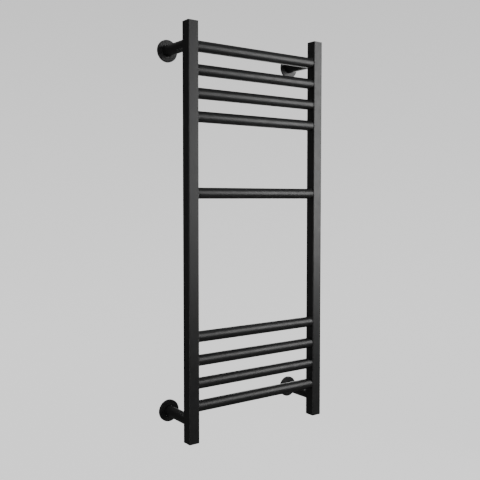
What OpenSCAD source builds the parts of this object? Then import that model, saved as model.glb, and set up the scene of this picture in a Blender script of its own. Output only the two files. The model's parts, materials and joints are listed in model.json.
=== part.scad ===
// Wall-hung electric towel rail: two square posts, nine round bars and four wall arms.
// Millimetres. +X to the viewer's right, +Y into the wall, +Z up. The wall is the plane y = 0.
// The origin is the middle of the four wall screw holes.

/* [Rail] */
// Overall width over both posts
rail_w = 500; // [420:10:700]
// Overall height of the posts
rail_h = 1200; // [1180:10:1400]
// Distance from the wall to the front of the posts
rail_d = 150; // [130:5:180]

/* [Posts] */
// Side of the square post tube
post_s = 34; // [34:1:40]
// Outside corner radius of the post tube
post_r = 3; // [2:0.5:4]
// Wall thickness of the post tube
post_wall = 2; // [1.5:0.5:2.5]
// Thickness of the end cap's plate
cap_t = 2; // [1.5:0.5:3]
// Depth of the end cap's plug inside the post
cap_plug = 8; // [5:1:12]

/* [Bars] */
// Diameter of the round bars
bar_d = 32; // [25:1:32]
// Wall thickness of the bars
bar_wall = 1.5; // [1.2:0.1:2]
// Top of the posts down to the axis of the top bar
top_drop = 67; // [60:1:90]
// Pitch of the four upper bars
upper_pitch = 66; // [50:1:70]
// Height of the middle bar above the origin
middle_z = 118; // [60:1:160]
// Bottom of the posts up to the axis of the lowest bar
bottom_rise = 103; // [95:1:115]
// Pitch of the four lower bars
lower_pitch = 66.5; // [50:0.5:70]
// Extra height of the uppermost of the lower bars, which carries the wet towel
lower_extra = 2.5; // [0:0.5:6]

/* [Wall arms] */
// Diameter of the arms between wall and posts
arm_d = 32; // [30:1:34]
// Ends of the posts to the axis of the arms
arm_inset = 62; // [50:1:66]
// Wall thickness of the arm's tube
arm_wall = 2; // [1.5:0.5:2.5]
// Length of the thick front part that takes the spigot
arm_collar = 42; // [30:1:50]
// Thickness of the arm's wall plate
arm_plate = 4; // [3:0.5:6]
// Gap between the arm and the back of the post
arm_gap = 0.5; // [0.3:0.1:1]
// Diameter of the hole for the wall screw
wall_hole_d = 5.5; // [5:0.5:6]
// Diameter of the spigot behind the post
spigot_d = 24; // [22:1:24]
// Length of the spigot
spigot_l = 38; // [25:1:45]
// Diameter of the lock screw
lock_d = 6; // [4:1:6]
// Back of the post to the axis of the lock screw
lock_y = 11; // [8:1:16]

/* [Covers] */
// Diameter of the wall covers
cover_d = 66; // [60:1:70]
// Thickness of the wall covers
cover_t = 6.5; // [6:0.5:10]
// Clearance between cover and arm
cover_gap = 0.3; // [0.2:0.05:0.5]
// Section of the rubber ring that holds a cover where it is pushed
ring_d = 2.4; // [2:0.2:2.6]

/* [Heating] */
// Diameter of the heating cable
heat_d = 5; // [4:0.5:6]
// Diameter of the supply lead
lead_d = 6; // [5:0.5:6.5]
// Bend radius of the cables
bend_r = 12; // [10:1:12]
// Bore of the cable inlet at the wall
inlet_d = 6.4; // [5:0.2:6.6]

/* [Hidden] */
$fn = 64;

LEFT = -1;
RIGHT = 1;
UPPER = 1;
LOWER = -1;
eps = 0.01;

// Planes and axes of the frame
post_x = rail_w / 2 - post_s / 2;
post_in_x = rail_w / 2 - post_s;
front_y = -rail_d;
axis_y = front_y + post_s / 2;
back_y = front_y + post_s;
arm_z = rail_h / 2 - arm_inset;
end_z = rail_h / 2 - cap_t;

// Bars
bar_seat = post_wall / 2;
bar_bore = bar_d - 2 * bar_wall;
wire_hole_d = 24;
function bar_z(i) =
    i <= 4 ? rail_h / 2 - top_drop - (i - 1) * upper_pitch
    : i == 5 ? middle_z
    : -rail_h / 2 + bottom_rise + (9 - i) * lower_pitch + (i == 6 ? lower_extra : 0);

// Wall arms, from the wall plane forwards
arm_front = -back_y - arm_gap;
arm_bore = arm_d - 2 * arm_wall;
collar_gap = 0.1;
collar_bore = spigot_d + 2 * collar_gap;
spigot_wall = 3;
spigot_bore = spigot_d - 2 * spigot_wall;
lock_at = -back_y - lock_y;
lock_angle = 45;
lock_out = 0.3;
grommet_wall = 0.8;
grommet_lip = 0.4;
grommet_head = 2;
inlet_od = inlet_d + 2 * grommet_wall;
inlet_gap = 1.8;
inlet_drop = wall_hole_d / 2 + inlet_gap + inlet_od / 2;

// Covers
cover_bore = arm_d + 2 * cover_gap;
cover_edge = 0.8;
cover_hub = 5;
cover_rim = 3;
cover_face = 2;
ring_bore = arm_d + 0.1;
groove_room = 0.1;
groove_w = ring_d + 3 * groove_room;
groove_at = cover_t / 2;

// Heating circuit, inside the right post and the lowest bar
cut_l = 20;
cut_d = 9;
splice_l = 32;
splice_d = 9;
seal_l = 24;
seal_d = 8;
block_d = 24;
block_l = 30;
block_gap = 8;
block_y = back_y + spigot_l + block_gap;
cut_x = post_in_x - cut_l;
splice_x = cut_x - splice_l;
heat_inset = 40;
heat_x = post_in_x - heat_inset;

// Earthing point, on the outer wall inside the right post
earth_drop = 28;
earth_z = -arm_z - earth_drop;
earth_x = rail_w / 2 - post_wall;
stud_d = 5;
stud_l = 11;
tag_t = 1;
tag_d = 10;
tag_tail = 6;
tag_gap = 2;
tag_x = earth_x - tag_gap - tag_t;
nut_h = 4;
nut_af = 8;
wire_d = 2.4;
wire_dx = 5.5;
wire_dz = -2.5;
wire_bend = 6;

module black() {
    color([0.07, 0.07, 0.075]) children();
}

module round_square(s, r) {
    square([s - 2 * r, s], center = true);
    square([s, s - 2 * r], center = true);
    for (x = [-1, 1], y = [-1, 1])
        translate([x * (s / 2 - r), y * (s / 2 - r)]) circle(r);
}

// A cylinder along X, Y or Z between two places on that axis
module rod_x(x0, x1, d) {
    translate([x0, 0, 0]) rotate([0, 90, 0]) cylinder(d = d, h = x1 - x0);
}

module rod_y(y0, y1, d) {
    translate([0, y1, 0]) rotate([90, 0, 0]) cylinder(d = d, h = y1 - y0);
}

module rod_z(z0, z1, d) {
    translate([0, 0, z0]) cylinder(d = d, h = z1 - z0);
}

// A quarter bend in the XZ plane, in the quadrant given by the signs sx and sz
module bend_xz(r, d, sx, sz) {
    mirror([sx < 0 ? 1 : 0, 0, 0])
        mirror([0, 0, sz < 0 ? 1 : 0])
            rotate([90, 0, 0]) rotate_extrude(angle = 90) translate([r, 0]) circle(d = d);
}

// A quarter bend in the YZ plane, in the quadrant -Y and -Z from its centre
module bend_yz(r, d) {
    rotate([0, 90, 0]) rotate([0, 0, 180]) rotate([0, 0, 90])
        rotate_extrude(angle = 90) translate([r, 0]) circle(d = d);
}

// ---- Posts ----

module post(side) {
    black() difference() {
        translate([side * post_x, axis_y, -end_z]) difference() {
            linear_extrude(2 * end_z) round_square(post_s, post_r);
            translate([0, 0, -eps])
                linear_extrude(2 * end_z + 2 * eps)
                    round_square(post_s - 2 * post_wall, post_r - post_wall);
        }
        for (i = [1:9])
            translate([side * post_in_x, axis_y, bar_z(i)]) {
                rod_x(-bar_seat, bar_seat, bar_d);
                rod_x(-2 * post_wall, 2 * post_wall, wire_hole_d);
            }
        if (side == RIGHT)
            translate([post_x, 0, -arm_z]) rod_y(back_y - 2 * post_wall, back_y + eps, spigot_bore);
    }
}

module post_cap(side, level) {
    black() translate([side * post_x, axis_y, level * end_z])
        mirror([0, 0, level < 0 ? 1 : 0]) {
            linear_extrude(cap_t) round_square(post_s, post_r);
            translate([0, 0, -cap_plug]) linear_extrude(cap_plug) difference() {
                square(post_s - 2 * post_wall - 2 * (post_r - post_wall), center = true);
                square(post_s - 4 * post_wall - 2 * (post_r - post_wall), center = true);
            }
        }
}

// ---- Bars ----

module bar(i) {
    reach = post_in_x + bar_seat;
    black() translate([0, axis_y, bar_z(i)]) difference() {
        rod_x(-reach, reach, bar_d);
        rod_x(-reach - eps, reach + eps, bar_bore);
    }
}

// ---- Wall arms, each drawn at the origin with its axis along -Y ----

module at_arm(side, level) {
    translate([side * post_x, 0, level * arm_z]) children();
}

// The lock screw looks towards the middle of the rail, half way between level and upright
module lock_place(side, level) {
    rotate([0, side * (90 - level * lock_angle), 0]) mirror([0, 0, 1]) children();
}

module arm(side, level) {
    black() at_arm(side, level) difference() {
        rod_y(-arm_front, 0, arm_d);
        rod_y(-arm_front + arm_collar, -arm_plate, arm_bore);
        rod_y(-arm_front - eps, -arm_front + arm_collar + eps, collar_bore);
        rod_y(-arm_plate - eps, eps, wall_hole_d);
        translate([0, -lock_at, 0]) lock_place(side, level) cylinder(d = lock_d, h = arm_d);
        if (side == RIGHT && level == LOWER)
            translate([0, 0, -inlet_drop]) rod_y(-arm_plate - eps, eps, inlet_od);
    }
}

module spigot(side, level) {
    color("silver") at_arm(side, level) difference() {
        rod_y(back_y, back_y + spigot_l, spigot_d);
        rod_y(back_y - eps, back_y + spigot_l + eps, spigot_bore);
    }
}

module lock_screw(side, level) {
    hex = lock_d / 2;
    color("lightgray") at_arm(side, level) translate([0, -lock_at, 0])
        lock_place(side, level) difference() {
            translate([0, 0, spigot_d / 2])
                cylinder(d = lock_d, h = arm_d / 2 + lock_out - spigot_d / 2);
            translate([0, 0, arm_d / 2 - hex / 2]) cylinder(d = hex, h = hex, $fn = 6);
        }
}

module cover(side, level) {
    black() at_arm(side, level) rotate([90, 0, 0]) rotate_extrude() difference() {
        polygon([
            [cover_bore / 2, 0], [cover_d / 2, 0], [cover_d / 2, cover_t - cover_edge],
            [cover_d / 2 - cover_edge, cover_t], [cover_bore / 2, cover_t]
        ]);
        translate([cover_bore / 2 + cover_hub, -eps])
            square([cover_d / 2 - cover_rim - cover_bore / 2 - cover_hub, cover_t - cover_face]);
        translate([0, groove_at - groove_w / 2]) square([ring_bore / 2 + ring_d + groove_room, groove_w]);
    }
}

module rubber_ring(side, level) {
    color([0.03, 0.03, 0.03]) at_arm(side, level) rotate([90, 0, 0])
        rotate_extrude() translate([ring_bore / 2 + ring_d / 2, groove_at]) circle(d = ring_d);
}

// ---- Heating circuit ----

// The heating cable climbs from bar i to bar i - 1 inside one post
module cable_climb(i) {
    side = i % 2 == 1 ? LEFT : RIGHT;
    low = bar_z(i);
    high = bar_z(i - 1);
    centre_x = side * (post_x - bend_r);
    translate([centre_x, axis_y, low + bend_r]) bend_xz(bend_r, heat_d, side, -1);
    translate([centre_x, axis_y, high - bend_r]) bend_xz(bend_r, heat_d, side, 1);
    translate([side * post_x, axis_y, 0]) rod_z(low + bend_r, high - bend_r, heat_d);
}

module heating_cable() {
    turn_x = post_x - bend_r;
    color("firebrick") {
        translate([0, axis_y, bar_z(9)]) rod_x(-turn_x, splice_x, heat_d);
        for (i = [2:8])
            translate([0, axis_y, bar_z(i)]) rod_x(-turn_x, turn_x, heat_d);
        translate([0, axis_y, bar_z(1)]) rod_x(-heat_x, turn_x, heat_d);
        for (i = [2:9]) cable_climb(i);
    }
}

module cable_end_seal() {
    color("dimgray") translate([0, axis_y, bar_z(1)]) rod_x(-heat_x - seal_l, -heat_x, seal_d);
}

module cable_splice() {
    color("dimgray") translate([0, axis_y, bar_z(9)]) rod_x(splice_x, cut_x, splice_d);
}

module thermal_cutout() {
    color("silver") translate([0, axis_y, bar_z(9)]) rod_x(cut_x, post_in_x, cut_d);
}

module supply_lead() {
    turn_z = bar_z(9) - bend_r;
    color("white") {
        translate([0, axis_y, bar_z(9)]) rod_x(post_in_x, post_x - bend_r, lead_d);
        translate([post_x - bend_r, axis_y, turn_z]) bend_xz(bend_r, lead_d, RIGHT, 1);
        translate([post_x, axis_y, 0]) rod_z(-arm_z + bend_r, turn_z, lead_d);
        translate([post_x, axis_y + bend_r, -arm_z + bend_r]) bend_yz(bend_r, lead_d);
        translate([post_x, 0, -arm_z]) rod_y(axis_y + bend_r, block_y, lead_d);
    }
}

module terminal_block() {
    screw_r = 7;
    screw_d = 3.5;
    color("ivory") translate([post_x, 0, -arm_z]) difference() {
        rod_y(block_y, block_y + block_l, block_d);
        for (a = [90:120:330])
            translate([screw_r * cos(a), 0, screw_r * sin(a)])
                rod_y(block_y + block_l / 2, block_y + block_l + eps, screw_d);
    }
}

module inlet_grommet() {
    head_y = -arm_plate - grommet_head;
    color([0.05, 0.05, 0.05]) translate([post_x, 0, -arm_z - inlet_drop]) difference() {
        union() {
            rod_y(-arm_plate, 0, inlet_od);
            rod_y(head_y, -arm_plate, inlet_od + 2 * grommet_lip);
        }
        rod_y(head_y - eps, eps, inlet_d);
    }
}

module earth_stud() {
    color("gold") translate([0, axis_y, earth_z]) rod_x(earth_x - stud_l, earth_x, stud_d);
}

module earth_tag() {
    color("silver") translate([0, axis_y, earth_z]) difference() {
        union() {
            rod_x(tag_x, tag_x + tag_t, tag_d);
            translate([tag_x, -wire_d / 2, 0]) cube([tag_t, wire_d, tag_d / 2 + tag_tail]);
        }
        rod_x(tag_x - eps, tag_x + tag_t + eps, stud_d);
    }
}

module earth_nut() {
    color("gold") translate([tag_x - nut_h, axis_y, earth_z]) rotate([0, 90, 0]) difference() {
        cylinder(d = nut_af / cos(30), h = nut_h, $fn = 6);
        translate([0, 0, -eps]) cylinder(d = stud_d, h = nut_h + 2 * eps);
    }
}

module earth_lead() {
    x0 = post_x + wire_dx;
    z1 = -arm_z + wire_dz;
    color("yellowgreen") {
        translate([x0, axis_y, 0]) rod_z(earth_z + tag_d / 2 + tag_tail, z1 - wire_bend, wire_d);
        translate([x0, axis_y + wire_bend, z1 - wire_bend])
            mirror([0, 0, 1]) bend_yz(wire_bend, wire_d);
        translate([x0, 0, z1]) rod_y(axis_y + wire_bend, block_y, wire_d);
    }
}

post(LEFT);  // left_post
post(RIGHT);  // right_post
bar(1);  // bar_1
bar(2);  // bar_2
bar(3);  // bar_3
bar(4);  // bar_4
bar(5);  // bar_5
bar(6);  // bar_6
bar(7);  // bar_7
bar(8);  // bar_8
bar(9);  // bar_9
post_cap(LEFT, UPPER);  // left_top_cap
post_cap(RIGHT, UPPER);  // right_top_cap
post_cap(LEFT, LOWER);  // left_bottom_cap
post_cap(RIGHT, LOWER);  // right_bottom_cap
arm(LEFT, UPPER);  // upper_left_arm
arm(RIGHT, UPPER);  // upper_right_arm
arm(LEFT, LOWER);  // lower_left_arm
arm(RIGHT, LOWER);  // lower_right_arm
spigot(LEFT, UPPER);  // upper_left_spigot
spigot(RIGHT, UPPER);  // upper_right_spigot
spigot(LEFT, LOWER);  // lower_left_spigot
spigot(RIGHT, LOWER);  // lower_right_spigot
lock_screw(LEFT, UPPER);  // upper_left_lock_screw
lock_screw(RIGHT, UPPER);  // upper_right_lock_screw
lock_screw(LEFT, LOWER);  // lower_left_lock_screw
lock_screw(RIGHT, LOWER);  // lower_right_lock_screw
cover(LEFT, UPPER);  // upper_left_cover
cover(RIGHT, UPPER);  // upper_right_cover
cover(LEFT, LOWER);  // lower_left_cover
cover(RIGHT, LOWER);  // lower_right_cover
rubber_ring(LEFT, UPPER);  // upper_left_ring
rubber_ring(RIGHT, UPPER);  // upper_right_ring
rubber_ring(LEFT, LOWER);  // lower_left_ring
rubber_ring(RIGHT, LOWER);  // lower_right_ring
heating_cable();
cable_end_seal();
cable_splice();
thermal_cutout();
supply_lead();
terminal_block();
inlet_grommet();
earth_stud();
earth_tag();
earth_nut();
earth_lead();
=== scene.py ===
import json
import math

import bmesh
import bpy
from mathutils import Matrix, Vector


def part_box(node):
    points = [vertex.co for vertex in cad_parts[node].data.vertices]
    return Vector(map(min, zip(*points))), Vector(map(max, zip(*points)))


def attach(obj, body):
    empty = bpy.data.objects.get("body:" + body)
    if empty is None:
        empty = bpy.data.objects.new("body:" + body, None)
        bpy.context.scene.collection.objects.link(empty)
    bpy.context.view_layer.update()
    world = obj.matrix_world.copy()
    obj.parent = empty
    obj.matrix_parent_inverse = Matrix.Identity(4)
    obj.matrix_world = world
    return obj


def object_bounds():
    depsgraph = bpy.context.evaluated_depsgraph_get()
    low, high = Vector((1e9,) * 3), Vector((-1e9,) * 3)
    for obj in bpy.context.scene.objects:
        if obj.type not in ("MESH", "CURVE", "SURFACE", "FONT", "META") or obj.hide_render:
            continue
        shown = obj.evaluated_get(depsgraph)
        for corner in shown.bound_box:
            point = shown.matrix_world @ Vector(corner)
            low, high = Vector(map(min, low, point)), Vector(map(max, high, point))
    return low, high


# Metres, in the CAD model's frame: +X to the viewer's right, +Y into the wall, +Z up.
# The origin is the middle of the four wall screw holes.
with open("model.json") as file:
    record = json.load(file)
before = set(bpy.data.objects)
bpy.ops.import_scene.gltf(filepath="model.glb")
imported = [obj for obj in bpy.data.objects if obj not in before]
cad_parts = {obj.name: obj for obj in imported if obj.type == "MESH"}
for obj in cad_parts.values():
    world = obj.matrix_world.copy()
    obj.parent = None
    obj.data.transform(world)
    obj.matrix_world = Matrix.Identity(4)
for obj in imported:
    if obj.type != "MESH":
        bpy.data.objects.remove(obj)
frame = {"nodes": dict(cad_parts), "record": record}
cad_low, cad_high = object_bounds()
nodes = frame["nodes"]
scene = bpy.context.scene


# ---------------------------------------------------------------- node helpers
class Tree:
    """A material's node tree, with one Principled shader and object coordinates in metres."""

    def __init__(self, name):
        self.material = bpy.data.materials.new(name)
        self.material.use_nodes = True
        self.tree = self.material.node_tree
        self.tree.nodes.clear()
        output = self.tree.nodes.new("ShaderNodeOutputMaterial")
        self.shader = self.tree.nodes.new("ShaderNodeBsdfPrincipled")
        self.link(self.shader.outputs["BSDF"], output.inputs["Surface"])
        self.coords = self.tree.nodes.new("ShaderNodeTexCoord").outputs["Object"]

    def link(self, a, b):
        self.tree.links.new(a, b)

    def stretched(self, scale):
        node = self.tree.nodes.new("ShaderNodeMapping")
        node.inputs["Scale"].default_value = scale
        self.link(self.coords, node.inputs["Vector"])
        return node.outputs["Vector"]

    def axis(self, name):
        """One of the coordinates, "X", "Y" or "Z"."""
        node = self.tree.nodes.new("ShaderNodeSeparateXYZ")
        self.link(self.coords, node.inputs["Vector"])
        return node.outputs[name]

    def noise(self, scale, detail=2.0, rough=0.5, coords=None):
        """Noise with about `scale` marks per metre."""
        node = self.tree.nodes.new("ShaderNodeTexNoise")
        node.inputs["Scale"].default_value = scale
        node.inputs["Detail"].default_value = detail
        node.inputs["Roughness"].default_value = rough
        self.link(coords or self.coords, node.inputs["Vector"])
        return node.outputs["Fac"]

    def ranged(self, value, low, high, start=0.3, end=0.7):
        """Maps start..end, which by default is where most noise lies, to low..high."""
        node = self.tree.nodes.new("ShaderNodeMapRange")
        node.inputs["From Min"].default_value = start
        node.inputs["From Max"].default_value = end
        node.inputs["To Min"].default_value = low
        node.inputs["To Max"].default_value = high
        self.link(value, node.inputs["Value"])
        return node.outputs["Result"]

    def math(self, operation, a, b):
        node = self.tree.nodes.new("ShaderNodeMath")
        node.operation = operation
        for socket, value in zip(node.inputs, (a, b)):
            if isinstance(value, (int, float)):
                socket.default_value = value
            else:
                self.link(value, socket)
        return node.outputs[0]

    def colours(self, value, first, second, start=0.35, end=0.65):
        node = self.tree.nodes.new("ShaderNodeValToRGB")
        low, high = node.color_ramp.elements
        low.position, high.position = start, end
        low.color, high.color = (*first, 1), (*second, 1)
        self.link(value, node.inputs["Fac"])
        return node.outputs["Color"]

    def bump(self, *heights):
        """heights: (value, depth in metres) pairs, stacked into one normal."""
        normal = None
        for value, depth in heights:
            node = self.tree.nodes.new("ShaderNodeBump")
            node.inputs["Strength"].default_value = 1.0
            node.inputs["Distance"].default_value = depth
            self.link(value, node.inputs["Height"])
            if normal:
                self.link(normal, node.inputs["Normal"])
            normal = node.outputs["Normal"]
        self.link(normal, self.shader.inputs["Normal"])

    def put(self, **sockets):
        """Sets or links shader sockets: an underscore in a name stands for a space."""
        for name, value in sockets.items():
            socket = self.shader.inputs[name.replace("_", " ")]
            if isinstance(value, (int, float)):
                socket.default_value = value
            else:
                self.link(value, socket)


# ---------------------------------------------------------------- materials
def powder_coat(name):
    """Satin black powder coat: a fine orange peel over a faintly uneven film."""
    black, black_warm = (0.009, 0.009, 0.0095), (0.012, 0.012, 0.012)
    rough, film_spread, grit_spread = 0.44, 0.03, 0.02
    patches_scale, film_scale, peel_scale, grit_scale = 9.0, 38.0, 520.0, 2400.0
    peel_depth, grit_depth = 0.00003, 0.000004
    t = Tree(name)
    patches = t.noise(patches_scale, 3.0)
    peel = t.noise(peel_scale, 2.0, 0.55)
    grit = t.noise(grit_scale, 1.0)
    t.put(Base_Color=t.colours(patches, black, black_warm))
    film = t.ranged(t.noise(film_scale, 3.0, 0.6), rough - film_spread, rough + film_spread)
    fine = t.ranged(grit, -grit_spread, grit_spread)
    t.put(Roughness=t.math("ADD", film, fine))
    t.bump((peel, peel_depth), (grit, grit_depth))
    return t.material


def metal(name, first, second, rough, stretch, scale, depth):
    """Bare metal with turning marks: noise squeezed along one direction."""
    smoother, rougher = 0.06, 0.08
    t = Tree(name)
    marks = t.noise(scale, 3.0, 0.6, t.stretched(stretch))
    t.put(Base_Color=t.colours(marks, first, second), Metallic=1.0)
    t.put(Roughness=t.ranged(marks, rough - smoother, rough + rougher))
    t.bump((marks, depth))
    return t.material


def moulded(name, first, second, rough):
    """Moulded plastic, rubber or cable sheath with a fine grain over broader patches."""
    grain_scale, patches_scale, grain_depth, spread = 300.0, 50.0, 0.00002, 0.06
    t = Tree(name)
    grain = t.noise(grain_scale, 3.0, 0.6)
    t.put(Base_Color=t.colours(t.noise(patches_scale, 2.0), first, second))
    t.put(Roughness=t.ranged(grain, rough - spread, rough + spread))
    t.bump((grain, grain_depth))
    return t.material


def striped(name, first, second, rough):
    """Earth wire: green insulation with a yellow stripe on one side."""
    grain_scale, grain_depth, spread = 900.0, 0.00001, 0.05
    low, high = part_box("earth_lead")
    t = Tree(name)
    stripe = t.math("GREATER_THAN", t.axis("X"), (low.x + high.x) / 2)
    t.put(Base_Color=t.colours(stripe, first, second, 0.0, 1.0))
    grain = t.noise(grain_scale, 2.0)
    t.put(Roughness=t.ranged(grain, rough - spread, rough + spread))
    t.bump((grain, grain_depth))
    return t.material


# Marks run round pieces turned about Y (spigots) and about X (stud and nut)
TURNED_Y, TURNED_X, PLAIN = (60, 1600, 60), (1600, 60, 60), (1, 1, 1)
looks = {
    "black_coating": powder_coat("black_coating"),
    "cover_coating": powder_coat("cover_coating"),
    "steel": metal("steel", (0.42, 0.43, 0.44), (0.6, 0.6, 0.61), 0.32, TURNED_Y, 1.0, 0.000004),
    "stainless": metal("stainless", (0.62, 0.62, 0.63), (0.78, 0.78, 0.79), 0.2, PLAIN, 900.0, 0.000003),
    "brass": metal("brass", (0.55, 0.37, 0.13), (0.72, 0.52, 0.2), 0.28, TURNED_X, 1.0, 0.000004),
    "rubber": moulded("rubber", (0.012, 0.012, 0.012), (0.025, 0.025, 0.024), 0.62),
    "silicone_red": moulded("silicone_red", (0.33, 0.035, 0.02), (0.42, 0.05, 0.03), 0.42),
    "grey_plastic": moulded("grey_plastic", (0.045, 0.045, 0.05), (0.08, 0.08, 0.085), 0.45),
    "white_sheath": moulded("white_sheath", (0.62, 0.62, 0.6), (0.74, 0.74, 0.72), 0.4),
    "ivory_plastic": moulded("ivory_plastic", (0.58, 0.53, 0.4), (0.68, 0.63, 0.5), 0.38),
    "green_yellow": striped("green_yellow", (0.03, 0.28, 0.05), (0.7, 0.58, 0.03), 0.4),
}

for part in frame["record"]["subparts"]:
    mesh = nodes[part["node"]].data
    mesh.materials.clear()
    mesh.materials.append(looks[part["material_slot"]])


# ---------------------------------------------------------------- coated edges and weld beads
SAME_POINT = 0.00001
SHARP_EDGE = math.radians(35)
FLAT_FACES_FIRST = 90


def soften(names, width, segments=3):
    """Rounds the sharp edges of CAD nodes by a coating's small radius."""
    for name in names:
        weld = nodes[name].modifiers.new("weld", "WELD")
        weld.merge_threshold = SAME_POINT
        bevel = nodes[name].modifiers.new("bevel", "BEVEL")
        bevel.limit_method = "ANGLE"
        bevel.angle_limit = SHARP_EDGE
        bevel.width = width
        bevel.segments = segments
        bevel.harden_normals = False
        normals = nodes[name].modifiers.new("normals", "WEIGHTED_NORMAL")
        normals.weight = FLAT_FACES_FIRST


BEAD_RUN = 0.0016
BEAD_RISE = 0.0009
BEAD_IN_POST = 0.002
BEAD_IN_BAR = 0.0002
BEAD_TURNS = 64
BEAD_STEPS = 6
BAR_COUNT = 9


def bead_outline(radius):
    """(along the bar, from its axis) pairs: a concave slope from the post to the bar, then its inside."""
    outline = [(-BEAD_IN_POST, radius + BEAD_RISE)]
    for i in range(BEAD_STEPS + 1):
        turn = math.pi / 2 * i / BEAD_STEPS
        slope = BEAD_RISE * (1 - math.sin(turn)) * math.cos(turn)
        outline.append((BEAD_RUN * math.sin(turn), radius + slope))
    outline.append((BEAD_RUN, radius - BEAD_IN_BAR))
    outline.append((-BEAD_IN_POST, radius - BEAD_IN_BAR))
    return outline


def bead(bm, post_face, inward, y, z, radius):
    """A hollow weld bead round a bar's end, from the bar's surface down to the post's inner face."""
    outline = bead_outline(radius)
    rings = []
    for i in range(BEAD_TURNS):
        a = math.tau * i / BEAD_TURNS
        ring = []
        for along, r in outline:
            at = (post_face + inward * along, y + r * math.cos(a), z + r * math.sin(a))
            ring.append(bm.verts.new(at))
        rings.append(ring)
    for i in range(BEAD_TURNS):
        one, two = rings[i], rings[(i + 1) % BEAD_TURNS]
        for j in range(len(outline)):
            k = (j + 1) % len(outline)
            bm.faces.new((one[j], one[k], two[k], two[j]))


def mesh_from(bm, name):
    """A smooth mesh from bm, which is freed."""
    for face in bm.faces:
        face.smooth = True
    mesh = bpy.data.meshes.new(name)
    bm.to_mesh(mesh)
    bm.free()
    return mesh


def weld_beads(name, post, inward):
    """The beads of all the bars on one post, as one piece. inward: 1 or -1, from post to rail's middle."""
    low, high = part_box(post)
    face = high.x if inward > 0 else low.x
    bm = bmesh.new()
    for number in range(1, BAR_COUNT + 1):
        bar_low, bar_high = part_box(f"bar_{number}")
        middle = (bar_low + bar_high) / 2
        bead(bm, face, inward, middle.y, middle.z, (bar_high.z - bar_low.z) / 2)
    bmesh.ops.recalc_face_normals(bm, faces=bm.faces)
    mesh = mesh_from(bm, name)
    mesh.materials.append(looks["black_coating"])
    piece = bpy.data.objects.new(name, mesh)
    scene.collection.objects.link(piece)
    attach(piece, "rail")


SIDES = ("left", "right")
CORNERS = [f"{level}_{side}" for level in ("upper", "lower") for side in SIDES]
soften([f"{side}_{end}_cap" for side in SIDES for end in ("top", "bottom")], 0.0006)
soften([f"{corner}_cover" for corner in CORNERS], 0.0004)
soften([f"{corner}_arm" for corner in CORNERS], 0.0004)
soften([f"{corner}_lock_screw" for corner in CORNERS], 0.00025, 2)
weld_beads("left_weld_beads", "left_post", 1)
weld_beads("right_weld_beads", "right_post", -1)

# ---------------------------------------------------------------- camera
CAMERA_AT = Vector((-1.271, -1.81, 0.1021))
HEADING = math.radians(35.808)
PITCH = math.radians(-2.615)
LENS = 52.0
SENSOR = 36.0
SHIFT = -0.02
CLIP_NEAR, CLIP_FAR = 0.05, 60.0

camera_data = bpy.data.cameras.new("camera")
camera_data.sensor_width = SENSOR
camera_data.lens = LENS
camera_data.shift_y = SHIFT
camera_data.clip_start = CLIP_NEAR
camera_data.clip_end = CLIP_FAR
camera = bpy.data.objects.new("camera", camera_data)
scene.collection.objects.link(camera)
level_look = Vector((math.sin(HEADING), math.cos(HEADING), 0))
look = level_look * math.cos(PITCH) + Vector((0, 0, math.sin(PITCH)))
camera.location = CAMERA_AT
camera.rotation_mode = "QUATERNION"
camera.rotation_quaternion = look.to_track_quat("-Z", "Y")
scene.camera = camera


# ---------------------------------------------------------------- light
def softbox(name, at, target, size, watts):
    """An area light of (width, height) size at one point, facing another, unseen by the camera."""
    data = bpy.data.lights.new(name, "AREA")
    data.shape = "RECTANGLE"
    data.size, data.size_y = size
    data.energy = watts
    light = bpy.data.objects.new(name, data)
    light.location = at
    light.rotation_mode = "QUATERNION"
    light.rotation_quaternion = (Vector(target) - Vector(at)).to_track_quat("-Z", "Y")
    light.visible_camera = False
    scene.collection.objects.link(light)


def ambient(level, below, above):
    """A plain grey surround: level at eye height, below added under it and above added over it."""
    world = bpy.data.worlds.new("world")
    world.use_nodes = True
    tree = world.node_tree
    coords = tree.nodes.new("ShaderNodeTexCoord")
    split = tree.nodes.new("ShaderNodeSeparateXYZ")
    height = tree.nodes.new("ShaderNodeMapRange")
    height.inputs["From Min"].default_value = -1.0
    ramp = tree.nodes.new("ShaderNodeValToRGB")
    tree.links.new(coords.outputs["Generated"], split.inputs["Vector"])
    tree.links.new(split.outputs["Z"], height.inputs["Value"])
    tree.links.new(height.outputs["Result"], ramp.inputs["Fac"])
    tree.links.new(ramp.outputs["Color"], tree.nodes["Background"].inputs["Color"])
    stops = [(0.28, level + below), (0.38, level), (0.74, level), (0.84, level + above)]
    while len(ramp.color_ramp.elements) < len(stops):
        ramp.color_ramp.elements.new(0.5)
    for element, (place, value) in zip(ramp.color_ramp.elements, stops):
        element.position = place
        element.color = (value, value, value, 1)
    scene.world = world


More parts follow.
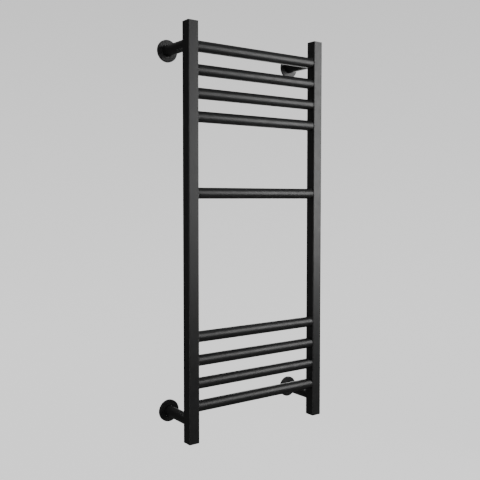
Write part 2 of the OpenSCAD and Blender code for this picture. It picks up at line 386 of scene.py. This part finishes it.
MIDDLE = (0, 0, 0)
ambient(0.06, 0.04, 0.12)
softbox("key", (1.34, -1.5, 0.475), (-0.16, -0.33, 0.475), (0.75, 1.5), 31.5)
softbox("front", (-0.4, -2.3, 0.5), MIDDLE, (1.0, 1.0), 7.0)
softbox("left", (-2.2, 0.0, -0.3), MIDDLE, (0.7, 1.4), 2.0)
softbox("right", (2.2, 0.1, -0.3), MIDDLE, (0.8, 1.5), 16.0)
softbox("back", (0.0, 6.2, 0.0), MIDDLE, (1.2, 3.0), 40.0)
softbox("front_left", (-1.6, -1.6, -0.5), MIDDLE, (0.8, 1.2), 9.0)
softbox("back_right", (1.6, 1.6, -0.05), MIDDLE, (0.7, 1.2), 10.0)
softbox("rim", (-1.2, -0.2, 2.1), MIDDLE, (1.2, 1.2), 6.0)
softbox("top", (0.0, 0.6, 2.4), MIDDLE, (1.2, 0.8), 12.0)

# ---------------------------------------------------------------- stage
# The floor curves up into a wall all round. It has a light of its own, and only the camera sees it.
FLOOR_Z = cad_low.z - 0.7
SWEEP_TURNS = 96
SWEEP = [  # radius, height above the floor
    (0.0, 0.0), (4.0, 0.0), (5.2, 0.1), (6.2, 0.5), (7.0, 1.3),
    (7.4, 2.4), (7.5, 4.0), (7.5, 9.0), (0.0, 9.5),
]
SWEEP_TOP = FLOOR_Z + SWEEP[-1][1]
AT_FLOOR, AT_HALF_HEIGHT = (1.0, 1.0, 1.0), (0.72, 0.72, 0.72)
GLOW = 1.2

bm = bmesh.new()
profile = [bm.verts.new((r, 0, FLOOR_Z + z)) for r, z in SWEEP]
edges = [bm.edges.new(pair) for pair in zip(profile, profile[1:])]
geometry = profile + edges
bmesh.ops.spin(bm, geom=geometry, cent=(0, 0, 0), axis=(0, 0, 1), angle=math.tau, steps=SWEEP_TURNS)
bmesh.ops.remove_doubles(bm, verts=bm.verts, dist=0.001)
bmesh.ops.recalc_face_normals(bm, faces=bm.faces)
bmesh.ops.reverse_faces(bm, faces=bm.faces)
sweep_mesh = mesh_from(bm, "sweep")
sweep = bpy.data.objects.new("sweep", sweep_mesh)
scene.collection.objects.link(sweep)

pale = Tree("pale_stage")
height = pale.ranged(pale.axis("Z"), 0.0, 1.0, FLOOR_Z, SWEEP_TOP)
mottle = pale.colours(pale.noise(0.4), (0.03, 0.03, 0.03), (0.04, 0.04, 0.04))
pale.put(Base_Color=mottle, Roughness=0.9)
pale.put(Emission_Color=pale.colours(height, AT_FLOOR, AT_HALF_HEIGHT, 0.0, 0.5), Emission_Strength=GLOW)
sweep_mesh.materials.append(pale.material)
for flag in ("visible_diffuse", "visible_glossy", "visible_transmission", "visible_shadow"):
    setattr(sweep, flag, False)
